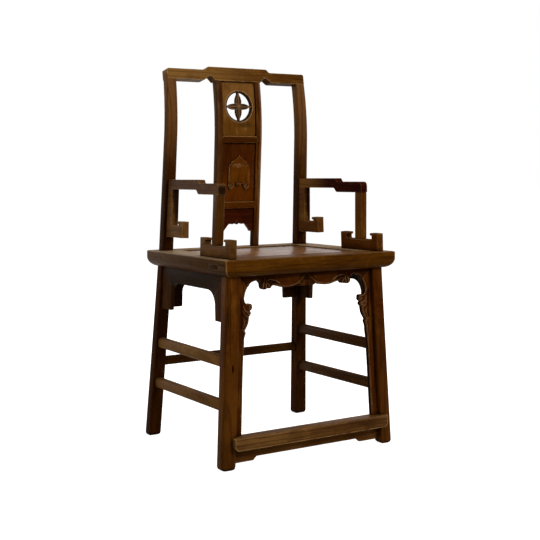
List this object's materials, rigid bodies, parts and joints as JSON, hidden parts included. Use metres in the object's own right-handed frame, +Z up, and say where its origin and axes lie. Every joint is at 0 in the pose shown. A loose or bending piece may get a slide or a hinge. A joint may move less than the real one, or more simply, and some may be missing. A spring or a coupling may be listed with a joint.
{
  "type": "chair",
  "caption": "Wooden armchair with splayed legs, a framed seat board, a carved front surround, a low footrest, fretted arms and a bent, panelled back under a stepped crest rail",
  "frame": {"origin": "on the floor, under the middle of the chair's overall width and depth", "axes": "+X to the right in a view from the front, +Y from the front to the back, +Z up"},
  "size_m": [0.534, 0.48, 1.0369],
  "materials": {
    "frame_wood": "old lacquered hardwood, worn at the edges",
    "board_wood": "polished hardwood board",
    "carved_wood": "carved hardwood"
  },
  "bodies": {
    "root": {"back_apron": "frame_wood", "back_left_bracket": "frame_wood", "back_right_bracket": "frame_wood", "crest_rail": "frame_wood", "footrest": "frame_wood", "footrest_apron": "frame_wood", "front_apron": "carved_wood", "front_left_leg": "frame_wood", "front_left_strip": "carved_wood", "front_right_leg": "frame_wood", "front_right_strip": "carved_wood", "left_apron": "frame_wood", "left_arm_base": "frame_wood", "left_arm_bracket": "frame_wood", "left_arm_post": "frame_wood", "left_arm_rail": "frame_wood", "left_front_bracket": "frame_wood", "left_lower_stretcher": "frame_wood", "left_rear_bracket": "frame_wood", "left_upper_stretcher": "frame_wood", "rear_left_post": "frame_wood", "rear_right_post": "frame_wood", "rear_stretcher": "frame_wood", "right_apron": "frame_wood", "right_arm_base": "frame_wood", "right_arm_bracket": "frame_wood", "right_arm_post": "frame_wood", "right_arm_rail": "frame_wood", "right_front_bracket": "frame_wood", "right_lower_stretcher": "frame_wood", "right_rear_bracket": "frame_wood", "right_upper_stretcher": "frame_wood", "seat_back_rail": "frame_wood", "seat_front_rail": "frame_wood", "seat_left_batten": "frame_wood", "seat_left_rail": "frame_wood", "seat_panel": "board_wood", "seat_right_batten": "frame_wood", "seat_right_rail": "frame_wood", "splat_bottom_apron": "board_wood", "splat_left_stile": "frame_wood", "splat_lower_rail": "frame_wood", "splat_middle_panel": "board_wood", "splat_right_stile": "frame_wood", "splat_top_panel": "board_wood", "splat_upper_rail": "frame_wood"}
  },
  "joints": []
}
